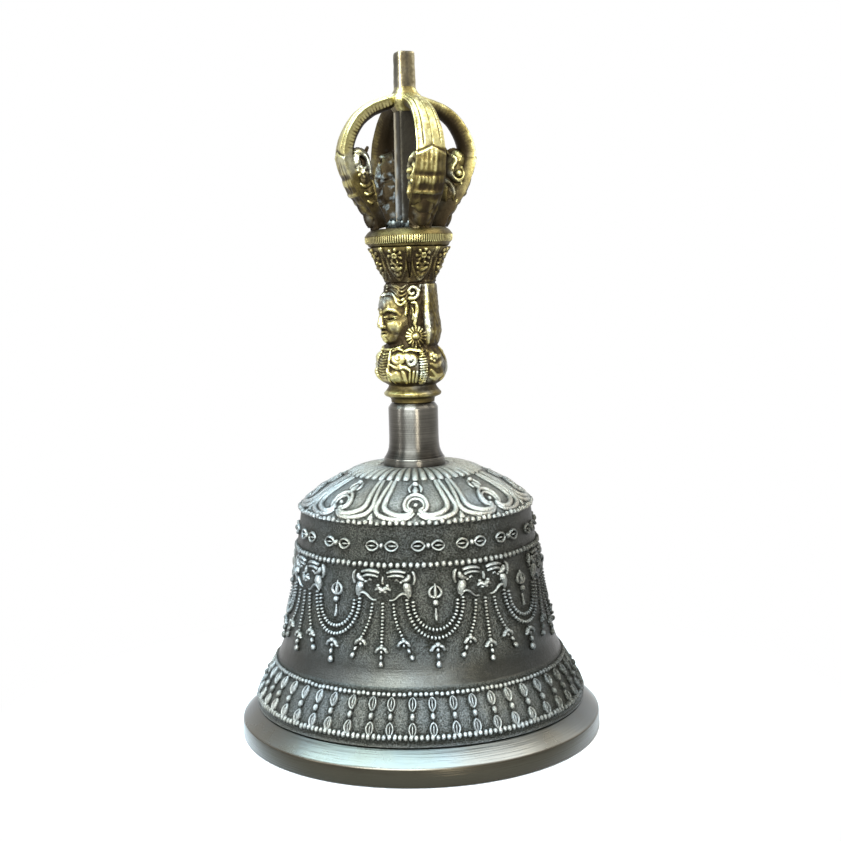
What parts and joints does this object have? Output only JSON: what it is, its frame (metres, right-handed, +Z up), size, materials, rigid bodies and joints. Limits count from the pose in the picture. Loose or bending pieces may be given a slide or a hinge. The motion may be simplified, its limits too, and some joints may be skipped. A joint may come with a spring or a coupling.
{
  "type": "meditation bell",
  "caption": "Himalayan-style hand bell: flared cast bell, turned neck, brass handle with a deity head and a vajra crown, and a free-swinging clapper.",
  "frame": {"origin": "centre of the rim's flat base, on the surface that the bell stands on", "axes": "+Z up the handle, -Y to the front, +X to the right as seen from the front"},
  "size_m": [0.094, 0.094, 0.1743],
  "materials": {
    "grey_bronze": "cast bell metal with an antique grey patina, rubbed bright on the raised ornament",
    "turned_grey": "turned and brushed, grey plated",
    "antique_brass": "cast brass with dark patina in the recesses and polished high points",
    "dull_brass": "filed square bar, dulled",
    "plain_steel": "plain",
    "dark_iron": "forged, dark",
    "bob_brass": "cast and turned"
  },
  "bodies": {
    "bell": {"bell_shell": "grey_bronze", "neck_ferrule": "turned_grey", "handle_body": "antique_brass", "vajra_crown": "antique_brass", "core_rod": "dull_brass", "crown_washer": "plain_steel", "crown_nut": "plain_steel"},
    "link": {"clapper_link": "dark_iron"},
    "clapper": {"clapper_rod": "dark_iron", "clapper_bob": "bob_brass"}
  },
  "joints": [
    {"name": "link_swing", "type": "hinge", "parent": "bell", "child": "link", "pos_m": [0, 0, 0.0522], "axis": [0, 1, 0], "range_deg": [-16, 16]},
    {"name": "clapper_swing", "type": "hinge", "parent": "link", "child": "clapper", "pos_m": [0, 0, 0.0473], "axis": [1, 0, 0], "range_deg": [-41, 41]}
  ]
}
